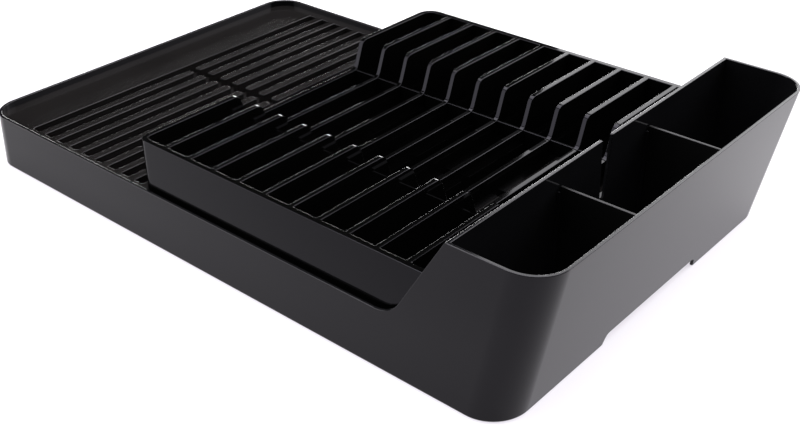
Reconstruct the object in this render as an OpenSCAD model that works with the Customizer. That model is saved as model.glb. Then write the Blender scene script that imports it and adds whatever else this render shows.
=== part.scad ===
// Dish drying rack: a drip tray with a cutlery caddy on its right end, a lift-out plate rack,
// two lift-out caddy dividers, a swivel drain spout and four rubber feet.
// Origin: on the counter, under the middle of the whole object. +X runs to the caddy end,
// +Y from front to back, +Z up.

/* [Drip tray] */
// Length of the tray at its foot, left end to the foot of the caddy's outer wall
tray_len = 540; // [450:5:660]
// Width of the tray, front to back
tray_w = 350; // [290:5:430]
// Height of the low wall above its own bottom edge
low_wall_h = 45.5; // [37:0.5:56]
// Thickness of the moulded walls
wall_t = 2.6; // [2:0.1:3.2]
// Radius of the two left corners, seen from above
corner_r = 25; // [18:1:32]
// Depth of the deck below the low wall's rim
deck_drop = 5.5; // [4:0.5:8]
// Thickness of the deck's skin
deck_skin_t = 2.2; // [1.8:0.1:2.6]
// Horizontal run of the slope from the low wall up to the caddy
sweep_run = 41; // [34:1:56]
// Fillet where that slope leaves the low wall
sweep_fillet_r = 24; // [10:1:28]

/* [Drainboard] */
// Width of the plain strip at the left end
plain_strip_w = 49.5; // [40:0.5:60]
// Distance from one groove to the next
groove_pitch = 16.7; // [15.5:0.1:20]
// Width of a groove
groove_w = 9.3; // [7.5:0.1:10]
// Depth of a groove and of the drain channel
groove_depth = 10; // [5:0.5:13]
// Distance from the tray's outer face to the closed end of a groove
groove_end_gap = 11; // [9:1:16]
// Width of the drain channel along the middle of the deck
channel_w = 8; // [6:0.5:10]

/* [Cutlery caddy] */
// Height of the caddy above the tray's bottom edge
caddy_h = 116; // [96:1:140]
// Width of the caddy at its foot, inner wall to outer wall
caddy_base_w = 48.5; // [46:0.5:60]
// How far the outer wall leans out over the caddy's height
caddy_lean = 22; // [16:1:28]
// Radius of the two right corners
caddy_corner_r = 27; // [20:1:32]
// Height of the caddy's floor above the tray's bottom edge
caddy_floor_h = 13; // [12:0.5:16]
// Thickness of the caddy's floor
caddy_floor_t = 2.5; // [2:0.1:3]
// Width of the V slot in the inner wall, at the rim
slot_top_w = 12; // [9:0.5:15]
// Width of the V slot at its foot
slot_foot_w = 3; // [2:0.5:4]
// Height of the V slot's foot above the deck
slot_foot_rise = 8; // [6:0.5:12]
// Height of the recess in the bottom edge of the outer wall
recess_h = 8.4; // [7.4:0.1:9.6]
// Width of that recess
recess_w = 124; // [120:1:160]

/* [Caddy dividers] */
// Distance of each divider from the middle of the caddy
divider_y = 56; // [46:1:68]
// Thickness of a divider
divider_t = 2.2; // [1.8:0.1:2.8]
// How far a divider's top edge lies below the caddy's rim
divider_drop = 12.5; // [8:0.5:20]
// Gap between a divider and what it slides in
divider_clear = 0.4; // [0.3:0.05:0.6]
// Thickness of the guide ribs, and how far they stand out
guide_t = 1.5; // [1.2:0.1:2]
// Width of the drain notch in a divider's bottom edge
notch_w = 20; // [12:1:26]
// Height of that notch
notch_h = 4; // [3:0.5:6]

/* [Plate rack] */
// Distance from one divider to the next
slot_pitch = 25.4; // [21:0.1:30.5]
// Thickness of a divider
rack_div_t = 4; // [3:0.1:4.8]
// Thickness of the two end walls
rack_end_t = 4.6; // [3.6:0.1:5.6]
// Thickness of the front and back panels
rack_panel_t = 4.6; // [3.6:0.1:5.6]
// Height of the rack at its front and back
rack_h = 45; // [37:0.5:54]
// Height of the rack in the dip across its middle
rack_low_h = 20.5; // [17:0.5:24]
// Length of that dip's floor, front to back
dip_len = 128; // [106:1:154]
// Lean of the dip's sides from upright, in degrees
dip_lean = 20; // [12:1:26]
// Fillet at the foot of the dip's sides
dip_foot_r = 6.5; // [3:0.5:8]
// Rounding at the top of the dip's sides
dip_top_r = 7; // [3:0.5:8]
// Radius of the rack's two front corners
rack_front_r = 9; // [6:0.5:12]
// Radius of the rack's two back corners
rack_back_r = 14; // [10:1:18]
// Gap between the rack and the tray's front wall
rack_front_clear = 2.4; // [1.5:0.1:4]
// Gap between the rack and the tray's back wall
rack_back_clear = 5.4; // [3:0.1:8]
// Gap between the rack and the caddy's inner wall
rack_caddy_gap = 5; // [3:0.5:12]
// Thickness of the cross rails
rail_t = 2; // [1.6:0.1:3]
// Depth of the cross rails, down from the floor of the dip
rail_depth = 12; // [8:1:16]

/* [Drain spout] */
// Radius of the outlet's bore
outlet_r = 7; // [6:0.5:7.5]
// Wall of the outlet tube
outlet_t = 2; // [1.6:0.1:2.4]
// Running clearance between the outlet tube and the spout's collar
spout_fit = 0.05; // [0.02:0.01:0.1]
// Reach of the spout from its pivot to its lip
spout_reach = 58; // [50:1:58]
// Distance from the pivot to the foot of the outer wall
spout_setback = 19; // [18:0.5:21]
// Wall thickness of the spout
spout_t = 1.5; // [1.2:0.1:1.8]
// Height of the spout's channel
spout_h = 5.8; // [4.8:0.1:6]
// Height of the spout's underside above the counter
spout_lift = 2; // [1.5:0.1:2.2]

/* [Feet] */
// How far the rubber feet stand below the tray's bottom edge
foot_drop = 1; // [0.8:0.1:1.2]
// Radius of a foot's head
foot_r = 8; // [6:0.5:9]
// Height of a foot's head
foot_head_h = 3; // [2.5:0.5:4]
// Radius of the stem pressed into the boss
foot_stem_r = 4; // [3:0.5:5]
// Length of the stem
foot_stem_len = 5; // [4:0.5:6]
// Distance of the feet from the tray's ends and sides
foot_inset = 25; // [22:1:32]

/* [Hidden] */
$fn = 64;
eps = 1;                                  // overshoot of cuts past the faces that they open
arc_steps = 8;                            // straight pieces in each rounding of the rack's dip
total_len = tray_len + caddy_lean;
x_left = -total_len / 2;
x_foot = x_left + tray_len;               // foot of the caddy's outer face
x_inner = x_foot - caddy_base_w;          // rack side of the caddy's inner wall
x_cavity = x_inner + wall_t;
z_skirt = foot_drop;
z_rim = z_skirt + low_wall_h;
z_top = z_skirt + caddy_h;
z_deck = z_rim - deck_drop;
z_floor = z_skirt + caddy_floor_h;
z_under_floor = z_floor - caddy_floor_t;
z_recess = z_skirt + recess_h;
lean_angle = atan(caddy_lean / caddy_h);
lean_reach = caddy_h / cos(lean_angle) + 2 * tray_w * tan(lean_angle);

x_groove_1 = x_left + plain_strip_w;
groove_len = tray_w - 2 * groove_end_gap;
groove_count = floor((x_inner - x_groove_1 - groove_w - deck_skin_t) / groove_pitch) + 1;

slot_count = 11;                          // one more than the rack's dividers, which are a node each
y_rack_front = wall_t + rack_front_clear - tray_w / 2;
y_rack_back = tray_w / 2 - wall_t - rack_back_clear;
rack_len = slot_count * slot_pitch - rack_div_t + 2 * rack_end_t;
x_rack = x_inner - rack_caddy_gap - rack_len;
x_slots = x_rack + rack_end_t;            // left side of the first slot
slot_w = slot_pitch - rack_div_t;
rail_y = (dip_len - rail_t) / 2;

divider_top_z = z_top - divider_drop;
guide_top_z = divider_top_z - 4;
guide_y = divider_t / 2 + divider_clear;  // inner side of a guide rib, from the divider's middle

pivot_x = x_foot - spout_setback;
collar_r = outlet_r + outlet_t + spout_fit;
spout_r = collar_r + spout_t;             // outside of the spout's round end
tube_end_z = spout_lift + spout_t + 2.5;
bead_h = 0.7;
bead_out = 0.4;
bead_clear = 0.3;
collar_gap = 0.4;                         // between the collar's top and the caddy's floor

boss_r = foot_r;
foot_y = tray_w / 2 - foot_inset;
foot_x_left = x_left + foot_inset;
foot_x_right = x_foot - foot_inset;

tray_colour = "#3a3a3e";
rack_colour = "#141417";
divider_colour = "#2a2a2d";
spout_colour = "#202022";
rubber_colour = "#101010";

function two_digits(i) = str(i < 10 ? "0" : "", i);

// ---- Shared outlines ----

// What is cut off a right-angled corner at (x, y) to round it; dx and dy point into the shape.
module corner_cut(x, y, dx, dy, r) {
    translate([x, y])
        mirror([dx < 0 ? 1 : 0, 0])
            mirror([0, dy < 0 ? 1 : 0])
                difference() {
                    translate([-eps, -eps]) square(r + eps);
                    translate([r, r]) circle(r);
                }
}

// Tray plan from the left end to x_hi, inset on three sides, with two rounded left corners.
module tray_plan(inset, x_hi) {
    half_w = tray_w / 2 - inset;
    r = corner_r - inset;
    difference() {
        translate([x_left + inset, -half_w]) square([x_hi - x_left - inset, 2 * half_w]);
        for (side = [-1, 1])
            corner_cut(x_left + inset, side * half_w, 1, -side, r);
    }
}

// Everything right of x_lo between two heights.
module caddy_zone(x_lo, z_lo, z_hi) {
    translate([x_lo, -tray_w, z_lo])
        cube([total_len, 2 * tray_w, z_hi - z_lo]);
}

// Leaning body of the caddy, inset from its outer faces: a rounded outline carried along the lean.
module caddy_form(inset, x_lo, z_lo, z_hi) {
    half_w = tray_w / 2 - inset;
    r = caddy_corner_r - inset;
    intersection() {
        translate([x_foot, 0, z_skirt])
            rotate([0, lean_angle, 0])
                translate([-inset, 0, -lean_reach / 2])
                    linear_extrude(2 * lean_reach)
                        difference() {
                            translate([-tray_w, -half_w]) square([tray_w, 2 * half_w]);
                            for (side = [-1, 1])
                                corner_cut(0, side * half_w, -1, -side, r);
                        }
        caddy_zone(x_lo, z_lo, z_hi);
    }
}

// ---- Drip tray ----

// Slope from the low rim up to the caddy's rim, filleted at its foot, seen from the front.
module sweep_outline() {
    angle = atan((z_top - z_rim) / sweep_run);
    tangent = sweep_fillet_r * tan(angle / 2);
    x_turn = x_inner - sweep_run;
    difference() {
        polygon([
            [x_turn - tangent, z_deck],
            [x_inner, z_deck],
            [x_inner, z_top],
            [x_turn + tangent * cos(angle), z_rim + tangent * sin(angle)],
            [x_turn - tangent, z_rim]
        ]);
        translate([x_turn - tangent, z_rim + sweep_fillet_r])
            circle(sweep_fillet_r, $fn = 128);
    }
}

module sweep_wall(side) {
    translate([0, side * (tray_w / 2 - wall_t / 2) + wall_t / 2, 0])
        rotate([90, 0, 0])
            linear_extrude(wall_t)
                sweep_outline();
}

// One straight trough: a groove's box, grown by skin on its sides and floor.
module trough(x, len_x, len_y, skin, top) {
    translate([x - skin, -len_y / 2 - skin, z_deck - groove_depth - skin])
        cube([len_x + 2 * skin, len_y + 2 * skin, groove_depth + skin + top]);
}

module all_troughs(skin, top) {
    for (i = [0 : groove_count - 1])
        trough(x_groove_1 + i * groove_pitch, groove_w, groove_len, skin, top);
}

module channel_trough(skin, top, x_hi) {
    translate([x_groove_1 - skin, -channel_w / 2 - skin, z_deck - groove_depth - skin])
        cube([x_hi - x_groove_1 + skin, channel_w + 2 * skin, groove_depth + skin + top]);
}

module deck() {
    difference() {
        union() {
            translate([0, 0, z_deck - deck_skin_t])
                linear_extrude(deck_skin_t)
                    tray_plan(wall_t, x_inner);
            all_troughs(deck_skin_t, -deck_skin_t / 2);
            channel_trough(deck_skin_t, -deck_skin_t / 2, x_inner);
        }
        all_troughs(0, eps);
        channel_trough(0, eps, x_inner + eps);
    }
}

module foot_boss(x, side, z_hi) {
    translate([x, side * foot_y, foot_head_h])
        difference() {
            cylinder(r = boss_r, h = z_hi - foot_head_h);
            translate([0, 0, -eps])
                cylinder(r = foot_stem_r, h = foot_stem_len + eps);
        }
}

module drip_tray() {
    color(tray_colour) {
        difference() {
            translate([0, 0, z_skirt])
                linear_extrude(low_wall_h)
                    tray_plan(0, x_inner);
            translate([0, 0, z_skirt - eps])
                linear_extrude(low_wall_h + 2 * eps)
                    tray_plan(wall_t, x_inner + eps);
        }
        for (side = [-1, 1]) {
            sweep_wall(side);
            foot_boss(foot_x_left, side, z_deck - deck_skin_t / 2);
        }
        deck();
    }
}

// ---- Cutlery caddy ----

// V slot with a round foot, seen along X.
module v_slot_outline() {
    z_foot = z_deck + slot_foot_rise;
    polygon([
        [-slot_foot_w / 2, z_foot],
        [slot_foot_w / 2, z_foot],
        [slot_top_w / 2, z_top],
        [slot_top_w / 2, z_top + eps],
        [-slot_top_w / 2, z_top + eps],
        [-slot_top_w / 2, z_top]
    ]);
    translate([0, z_foot])
        circle(slot_foot_w / 2);
}

module inner_wall_openings() {
    translate([x_inner - eps, 0, 0])
        rotate([90, 0, 90])
            linear_extrude(wall_t + 2 * eps)
                v_slot_outline();
    translate([x_inner - eps, -channel_w / 2, z_deck - groove_depth])
        cube([wall_t + 2 * eps, channel_w, groove_depth]);
}

// Pairs of guide ribs up the inner and outer walls, either side of each divider.
module guide_ribs() {
    for (side = [-1, 1], edge = [-1, 1])
        intersection() {
            difference() {
                caddy_form(wall_t / 2, x_inner + wall_t / 2, z_under_floor + eps, guide_top_z);
                caddy_form(wall_t + guide_t, x_cavity + guide_t, z_under_floor, guide_top_z + eps);
            }
            translate([x_inner, side * divider_y + edge * (guide_y + guide_t / 2) - guide_t / 2, z_skirt])
                cube([total_len, guide_t, caddy_h]);
        }
}

module outlet_tube() {
    translate([pivot_x, 0, tube_end_z]) {
        cylinder(r = outlet_r + outlet_t, h = z_floor - tube_end_z - caddy_floor_t / 2);
        cylinder(r = outlet_r + outlet_t + bead_out, h = bead_h);
    }
}

module cutlery_caddy() {
    color(tray_colour)
        difference() {
            union() {
                difference() {
                    caddy_form(0, x_inner, z_skirt, z_top);
                    caddy_form(wall_t, x_cavity, z_floor, z_top + eps);
                    caddy_form(wall_t, x_cavity, z_skirt - eps, z_under_floor);
                    inner_wall_openings();
                    translate([x_foot - caddy_base_w / 2, -recess_w / 2, z_skirt - eps])
                        cube([caddy_base_w, recess_w, recess_h + eps]);
                }
                guide_ribs();
                outlet_tube();
                for (side = [-1, 1])
                    foot_boss(foot_x_right, side, z_floor - caddy_floor_t / 2);
            }
            translate([pivot_x, 0, tube_end_z - eps])
                cylinder(r = outlet_r, h = z_floor - tube_end_z + 2 * eps);
        }
}

// ---- Caddy dividers ----

module caddy_divider(side) {
    color(divider_colour)
        difference() {
            intersection() {
                caddy_form(wall_t + divider_clear, x_cavity + divider_clear, z_floor, divider_top_z);
                translate([x_inner, side * divider_y - divider_t / 2, z_skirt])
                    cube([total_len, divider_t, caddy_h]);
            }
            translate([x_cavity + caddy_base_w / 2 - notch_w / 2, side * divider_y - divider_t, z_floor - eps])
                cube([notch_w, 2 * divider_t, notch_h + eps]);
        }
}

module caddy_divider_front() {
    caddy_divider(-1);
}

module caddy_divider_back() {
    caddy_divider(1);
}

// ---- Drain spout ----

// Stowed along +Y. A round pan under the outlet, a collar that turns on the outlet tube,
// and a flat open channel to the lip.
module drain_spout() {
    collar_top = z_under_floor - collar_gap;
    bead_top = tube_end_z + bead_h + bead_clear;
    pan_r = outlet_r + outlet_t + bead_out + bead_clear;
    color(spout_colour)
        translate([pivot_x, 0, spout_lift])
            difference() {
                union() {
                    cylinder(r = spout_r, h = collar_top - spout_lift);
                    translate([-spout_r, 0, 0])
                        cube([2 * spout_r, spout_reach, spout_h]);
                }
                translate([0, 0, spout_t])
                    cylinder(r = pan_r, h = bead_top - spout_lift - spout_t);
                translate([0, 0, spout_t])
                    cylinder(r = collar_r, h = collar_top - spout_lift);
                translate([-spout_r + spout_t, spout_r, spout_t])
                    cube([2 * (spout_r - spout_t), spout_reach, spout_h]);
                translate([-outlet_r, 0, spout_t])
                    cube([2 * outlet_r, spout_reach, tube_end_z - spout_lift - spout_t]);
            }
}

// ---- Feet ----

module foot(x, side) {
    color(rubber_colour)
        translate([x, side * foot_y, 0]) {
            cylinder(r = foot_r, h = foot_head_h);
            cylinder(r = foot_stem_r, h = foot_head_h + foot_stem_len);
        }
}

module foot_front_left() {
    foot(foot_x_left, -1);
}

module foot_back_left() {
    foot(foot_x_left, 1);
}

module foot_front_right() {
    foot(foot_x_right, -1);
}

module foot_back_right() {
    foot(foot_x_right, 1);
}

// ---- Plate rack ----

// Points of an arc, from one direction to another, both in degrees.
function arc(y, z, r, from, to) =
    [for (i = [0 : arc_steps]) let (a = from + (to - from) * i / arc_steps) [y + r * cos(a), z + r * sin(a)]];

// One side of the dip, from its floor up to the rack's top edge: fillet, leaning side, rounding.
// A fillet's tangent length is its radius times the tangent of half the angle that it turns.
function dip_side() =
    let (
        turn = 90 - dip_lean,
        half = dip_len / 2,
        half_top = half + (rack_h - rack_low_h) * tan(dip_lean)
    )
    concat(
        arc(half - dip_foot_r * tan(turn / 2), rack_low_h + dip_foot_r, dip_foot_r, -90, -90 + turn),
        arc(half_top + dip_top_r * tan(turn / 2), rack_h - dip_top_r, dip_top_r, 90 + turn, 90)
    );

// Space above the dip, seen along X.
module dip_outline() {
    side = dip_side();
    last = len(side) - 1;
    polygon(concat(
        side,
        [[side[last][0], rack_h + eps], [-side[last][0], rack_h + eps]],
        [for (i = [last : -1 : 0]) [-side[i][0], side[i][1]]]
    ));
}

module rack_plan(inset_x, inset_y, r_front, r_back) {
    y_lo = y_rack_front + inset_y;
    y_hi = y_rack_back - inset_y;
    x_lo = x_rack + inset_x;
    x_hi = x_rack + rack_len - inset_x;
    difference() {
        translate([x_lo, y_lo]) square([x_hi - x_lo, y_hi - y_lo]);
        corner_cut(x_lo, y_lo, 1, 1, r_front);
        corner_cut(x_hi, y_lo, -1, 1, r_front);
        corner_cut(x_lo, y_hi, 1, -1, r_back);
        corner_cut(x_hi, y_hi, -1, -1, r_back);
    }
}

module rack_frame() {
    color(rack_colour)
        translate([0, 0, z_deck])
            difference() {
                linear_extrude(rack_h)
                    rack_plan(0, 0, rack_front_r, rack_back_r);
                translate([0, 0, -eps])
                    linear_extrude(rack_h + 2 * eps)
                        rack_plan(rack_end_t, rack_panel_t, rack_front_r - rack_end_t,
                                  rack_back_r - rack_end_t);
                translate([x_rack - eps, 0, 0])
                    rotate([90, 0, 90])
                        linear_extrude(rack_len + 2 * eps)
                            dip_outline();
            }
}

module rack_divider(i) {
    color(rack_colour)
        translate([x_slots + i * slot_pitch - rack_div_t, 0, z_deck])
            rotate([90, 0, 90])
                linear_extrude(rack_div_t)
                    difference() {
                        translate([y_rack_front + rack_panel_t, 0])
                            square([y_rack_back - y_rack_front - 2 * rack_panel_t, rack_h]);
                        dip_outline();
                    }
}

// Rails at the feet of the dip's sides, in pieces that fill the gaps between the dividers.
module rack_cross_rails() {
    color(rack_colour)
        for (side = [-1, 1], i = [0 : slot_count - 1])
            translate([x_slots + i * slot_pitch, side * rail_y - rail_t / 2,
                       z_deck + rack_low_h - rail_depth])
                cube([slot_w, rail_t, rail_depth]);
}

drip_tray();
cutlery_caddy();
caddy_divider_front();
caddy_divider_back();
drain_spout();
foot_front_left();
foot_back_left();
foot_front_right();
foot_back_right();
rack_frame();
rack_cross_rails();
rack_divider(1);  // rack_divider_01
rack_divider(2);  // rack_divider_02
rack_divider(3);  // rack_divider_03
rack_divider(4);  // rack_divider_04
rack_divider(5);  // rack_divider_05
rack_divider(6);  // rack_divider_06
rack_divider(7);  // rack_divider_07
rack_divider(8);  // rack_divider_08
rack_divider(9);  // rack_divider_09
rack_divider(10);  // rack_divider_10
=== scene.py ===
import math

import bmesh
import bpy
import numpy as np
from bpy.props import FloatProperty, PointerProperty, StringProperty
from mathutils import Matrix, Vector


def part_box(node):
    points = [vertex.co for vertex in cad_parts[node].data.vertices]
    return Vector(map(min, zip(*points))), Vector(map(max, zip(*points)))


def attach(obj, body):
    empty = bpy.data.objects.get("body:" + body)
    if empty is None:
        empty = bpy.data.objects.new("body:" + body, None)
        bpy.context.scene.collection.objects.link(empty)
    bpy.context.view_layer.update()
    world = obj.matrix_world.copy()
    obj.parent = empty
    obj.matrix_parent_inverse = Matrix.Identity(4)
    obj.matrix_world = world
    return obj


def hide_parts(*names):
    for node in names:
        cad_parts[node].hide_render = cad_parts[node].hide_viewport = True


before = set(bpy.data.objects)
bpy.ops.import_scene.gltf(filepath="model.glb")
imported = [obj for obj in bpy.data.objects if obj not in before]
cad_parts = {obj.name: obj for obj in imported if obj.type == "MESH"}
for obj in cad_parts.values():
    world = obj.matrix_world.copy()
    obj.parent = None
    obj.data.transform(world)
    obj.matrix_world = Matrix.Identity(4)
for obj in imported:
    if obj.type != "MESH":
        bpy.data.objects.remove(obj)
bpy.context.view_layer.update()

bl_info = {
    "name": "Dish Drying Rack",
    "version": (1, 0, 0),
    "blender": (4, 5, 0),
    "location": "View3D > Sidebar > Dish Rack",
    "description": "Builds the shells, fillets, finishes and studio of a dish drying rack",
    "category": "Add Mesh",
}

MM = 0.001
LEAST_RADIUS = 0.02 * MM    # a corner that is sharp to the eye still keeps its arc's points apart
LIFT = 0.01 * MM            # keeps a covering face off the coplanar face that it covers
ROUND_SIDES = 64
SMOOTH_ANGLE = 40           # faces that meet at less than this many degrees are shaded as one surface
PLATE_R = 1 * MM            # rounding of a thin plate's corners
EDGE_R = 0.3 * MM           # rounding of a rib's or a rail's long edges
BITE = 1 * MM               # how far a rib or a floor reaches into the wall that it is moulded onto

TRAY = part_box("drip_tray")
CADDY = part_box("cutlery_caddy")
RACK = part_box("rack_frame")
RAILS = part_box("rack_cross_rails")
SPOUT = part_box("drain_spout")
RACK_DIVIDERS = [name for name in sorted(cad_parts) if name.startswith("rack_divider_")]
FEET = [name for name in sorted(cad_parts) if name.startswith("foot_")]


# ---- Sizes and colours that a user would change ----

def length(name, text, millimetres):
    return FloatProperty(name=name, description=text, default=millimetres * MM, unit="LENGTH")


def angle(name, text, degrees):
    return FloatProperty(name=name, description=text, default=math.radians(degrees), unit="ROTATION")


def colour(name, text, hex_value):
    return StringProperty(name=name, description=text, default=hex_value)


class DISHRACK_PG_tray(bpy.types.PropertyGroup):
    wall: length("Wall", "Thickness of the moulded walls", 2.6)
    fillet: length("Rim fillet", "Rounding of the rims' edges", 0.7)
    left_r: length("Left corners", "Radius of the two left corners", 25)
    right_r: length("Right corners", "Radius of the two right corners", 27)
    base_w: length("Caddy foot", "Width of the caddy at its foot", 48.5)
    deck_drop: length("Deck drop", "Depth of the deck below the low rim", 5.5)
    sweep_run: length("Sweep run", "Horizontal run of the slope up to the caddy", 41)
    sweep_r: length("Sweep fillet", "Fillet where the slope leaves the low rim", 24)
    sweep_top_r: length("Sweep top", "Rounding where the slope meets the caddy's rim", 1.6)
    draft: angle("Draft", "Lean of the front, back and left walls from upright", 1.6)
    recess_w: length("Recess width", "Width of the recess in the outer wall's foot", 124)
    recess_h: length("Recess height", "Height of that recess", 8.4)
    recess_run: length("Recess slope", "Horizontal run of the recess's sloping ends", 2.5)
    recess_foot_r: length("Recess foot", "Rounding at the foot of those ends", 1.2)
    recess_top_r: length("Recess top", "Rounding at the top of those ends", 4)
    shell: colour("Shell", "Satin charcoal plastic of the walls", "#070708")


class DISHRACK_PG_deck(bpy.types.PropertyGroup):
    strip_w: length("Plain strip", "Width of the plain strip at the left end", 49.5)
    pitch: length("Groove pitch", "Distance from one groove to the next", 16.7)
    groove_w: length("Groove width", "Width of a groove", 9.3)
    depth: length("Groove depth", "Depth of the grooves and the channel", 10)
    end_gap: length("End gap", "From the tray's outer face to the grooves' closed ends", 11)
    channel_w: length("Channel width", "Width of the drain channel", 8)
    skin: length("Skin", "Thickness of the deck's skin", 2.2)
    front_tip_r: length("Front tips", "Rounding of the front ribs' ends at the channel", 1.6)
    back_tip_r: length("Back tips", "Rounding of the back ribs' ends at the channel", 0.8)
    fillet: length("Fillet", "Rounding of the ribs' edges", 0.6)
    colour: colour("Deck", "Textured charcoal plastic of the deck", "#0A0909")


class DISHRACK_PG_caddy(bpy.types.PropertyGroup):
    floor_z: length("Floor height", "Height of the floor above the tray's bottom edge", 13)
    floor_t: length("Floor thickness", "Thickness of the floor", 2.5)
    slot_top_w: length("Slot top", "Width of the V slot at the rim", 12)
    slot_foot_w: length("Slot foot", "Width of the V slot at its foot", 3)
    slot_rise: length("Slot rise", "Height of the V slot's foot above the deck", 8)
    guide: length("Guide rib", "Thickness of a guide rib, and how far it stands out", 1.5)
    guide_gap: length("Guide gap", "Gap between a divider and a guide rib", 0.4)
    guide_drop: length("Guide drop", "Depth of a guide rib's top below the divider's", 4)
    fillet: length("Fillet", "Rounding of the dividers' edges", 0.6)
    notch_w: length("Notch width", "Width of the notch in a divider's bottom edge", 20)
    notch_h: length("Notch height", "Height of that notch", 4)
    colour: colour("Divider", "Satin black plastic of the lift-out dividers", "#050505")


class DISHRACK_PG_rack(bpy.types.PropertyGroup):
    end_t: length("End wall", "Thickness of the two end walls", 4.6)
    panel_t: length("Panel", "Thickness of the front and back panels", 4.6)
    dip_len: length("Dip", "Length of the dip's floor, front to back", 128)
    dip_lean: angle("Dip lean", "Lean of the dip's sides from upright", 20)
    foot_r: length("Dip foot", "Fillet at the foot of the dip's sides", 6.5)
    top_r: length("Dip top", "Rounding at the top of the dip's sides", 7)
    front_r: length("Front corners", "Radius of the two front corners", 9)
    back_r: length("Back corners", "Radius of the two back corners", 14)
    left_slot_r: length("Slot front left", "Rounding of the slots' front left corners", 0.9)
    right_slot_r: length("Slot front right", "Rounding of the slots' front right corners", 1.4)
    fillet: length("Fillet", "Rounding of the dividers' edges", 0.5)
    rail_t: length("Rail", "Thickness of the cross rails", 2)
    colour: colour("Rack", "Gloss black plastic of the plate rack", "#020202")


class DISHRACK_PG_small(bpy.types.PropertyGroup):
    outlet_r: length("Outlet bore", "Radius of the outlet's bore", 7)
    outlet_t: length("Outlet wall", "Wall of the outlet tube", 2)
    spout_t: length("Spout wall", "Wall of the spout", 1.5)
    spout_h: length("Spout height", "Height of the spout's channel", 5.8)
    head_h: length("Foot head", "Height of a rubber foot's head", 3)
    stem_r: length("Foot stem", "Radius of a foot's stem", 4)
    fillet: length("Fillet", "Rounding of the small pieces' edges", 0.4)
    spout: colour("Spout", "Satin black plastic of the spout", "#19191A")
    rubber: colour("Rubber", "Matt black rubber of the feet", "#0E0E0E")


class DISHRACK_PG_studio(bpy.types.PropertyGroup):
    floor: colour("Floor", "Painted studio floor", "#6B6B6B")
    floor_w: FloatProperty(name="Floor width", description="Width of the floor", default=9, unit="LENGTH")
    lens: FloatProperty(name="Lens", description="Focal length of the camera in mm", default=51.32)


# ---- Surfaces ----

def round_corners(corners, steps):
    """Rounds each corner (u, v, radius) of a closed outline that runs anticlockwise.
    Its arc has the length of the tangents r tan(turn / 2), and its normal turns evenly from one
    side's to the next side's. Returns points and outward normals, one row of steps + 1 a corner."""
    table = np.asarray(corners, float)
    corner = table[:, :2]
    radius = np.maximum(table[:, 2], LEAST_RADIUS)
    along = corner - np.roll(corner, 1, 0)
    along /= np.linalg.norm(along, axis=1)[:, None]
    after = np.roll(along, -1, 0)
    outward = np.stack([along[:, 1], -along[:, 0]], 1)
    turn = np.arctan2(along[:, 0] * after[:, 1] - along[:, 1] * after[:, 0], (along * after).sum(1))
    signed = np.where(turn < 0, -radius, radius)
    tangent = radius * np.tan(np.abs(turn) / 2)
    centre = corner - along * tangent[:, None] - outward * signed[:, None]
    bearing = np.arctan2(outward[:, 1], outward[:, 0])[:, None] + turn[:, None] * np.linspace(0, 1, steps + 1)
    normal = np.stack([np.cos(bearing), np.sin(bearing)], -1)
    return centre[:, None] + signed[:, None, None] * normal, normal


def outline(corners, steps=5):
    """The same rounded outline as one run of points and normals."""
    points, normals = round_corners(corners, steps)
    return points.reshape(-1, 2), normals.reshape(-1, 2)


def quarter(fillet, steps=3):
    """Inset and drop of a fillet from a side (first) round to a face (last): r (1 - cos a), r (1 - sin a)."""
    a = np.linspace(0, math.pi / 2, steps + 1)
    return fillet * (1 - np.cos(a)), fillet * (1 - np.sin(a))


def skin(rows, caps=False, loop=False):
    """Joins each closed row of points to the next with quads. loop joins the last row to the
    first, and caps closes the first and last rows with a face each."""
    count, around = rows.shape[:2]
    index = np.arange(count * around).reshape(count, around)
    ends = [index[0][::-1].tolist(), index[-1].tolist()] if caps else []
    if loop:
        index = np.vstack([index, index[:1]])
    nxt = np.roll(index, -1, 1)
    quads = np.stack([index[:-1], nxt[:-1], nxt[1:], index[1:]], -1).reshape(-1, 4)
    return rows.reshape(-1, 3), quads.tolist() + ends


def slab(shape, low, high, fillet, axes=(0, 1, 2)):
    """A flat plate: an outline carried from low to high, inset along its normals by a quarter
    circle at both faces. axes names the coordinate of the outline's u, its v, and the thickness."""
    points, normals = shape
    inset, drop = quarter(fillet)
    inset = np.concatenate([inset[::-1], inset])
    level = np.concatenate([low + drop[::-1], high - drop])
    rows = np.empty((len(level), len(points), 3))
    rows[..., axes[0]] = points[:, 0] - inset[:, None] * normals[:, 0]
    rows[..., axes[1]] = points[:, 1] - inset[:, None] * normals[:, 1]
    rows[..., axes[2]] = level[:, None]
    return skin(rows, caps=True)


def turned(profile, centre, loop=False):
    """A profile of (radius, height) points turned about an upright axis: x = r cos a, y = r sin a."""
    radius, height = np.asarray(profile, float).T
    a = np.linspace(0, 2 * math.pi, ROUND_SIDES, endpoint=False)
    rows = np.empty((len(radius), ROUND_SIDES, 3))
    rows[..., 0] = centre[0] + radius[:, None] * np.cos(a)
    rows[..., 1] = centre[1] + radius[:, None] * np.sin(a)
    rows[..., 2] = height[:, None]
    return skin(rows, caps=not loop, loop=loop)


def rectangle(u_low, u_high, v_low, v_high, radius):
    return outline([(u_low, v_low, radius), (u_high, v_low, radius), (u_high, v_high, radius),
                    (u_low, v_high, radius)])


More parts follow.
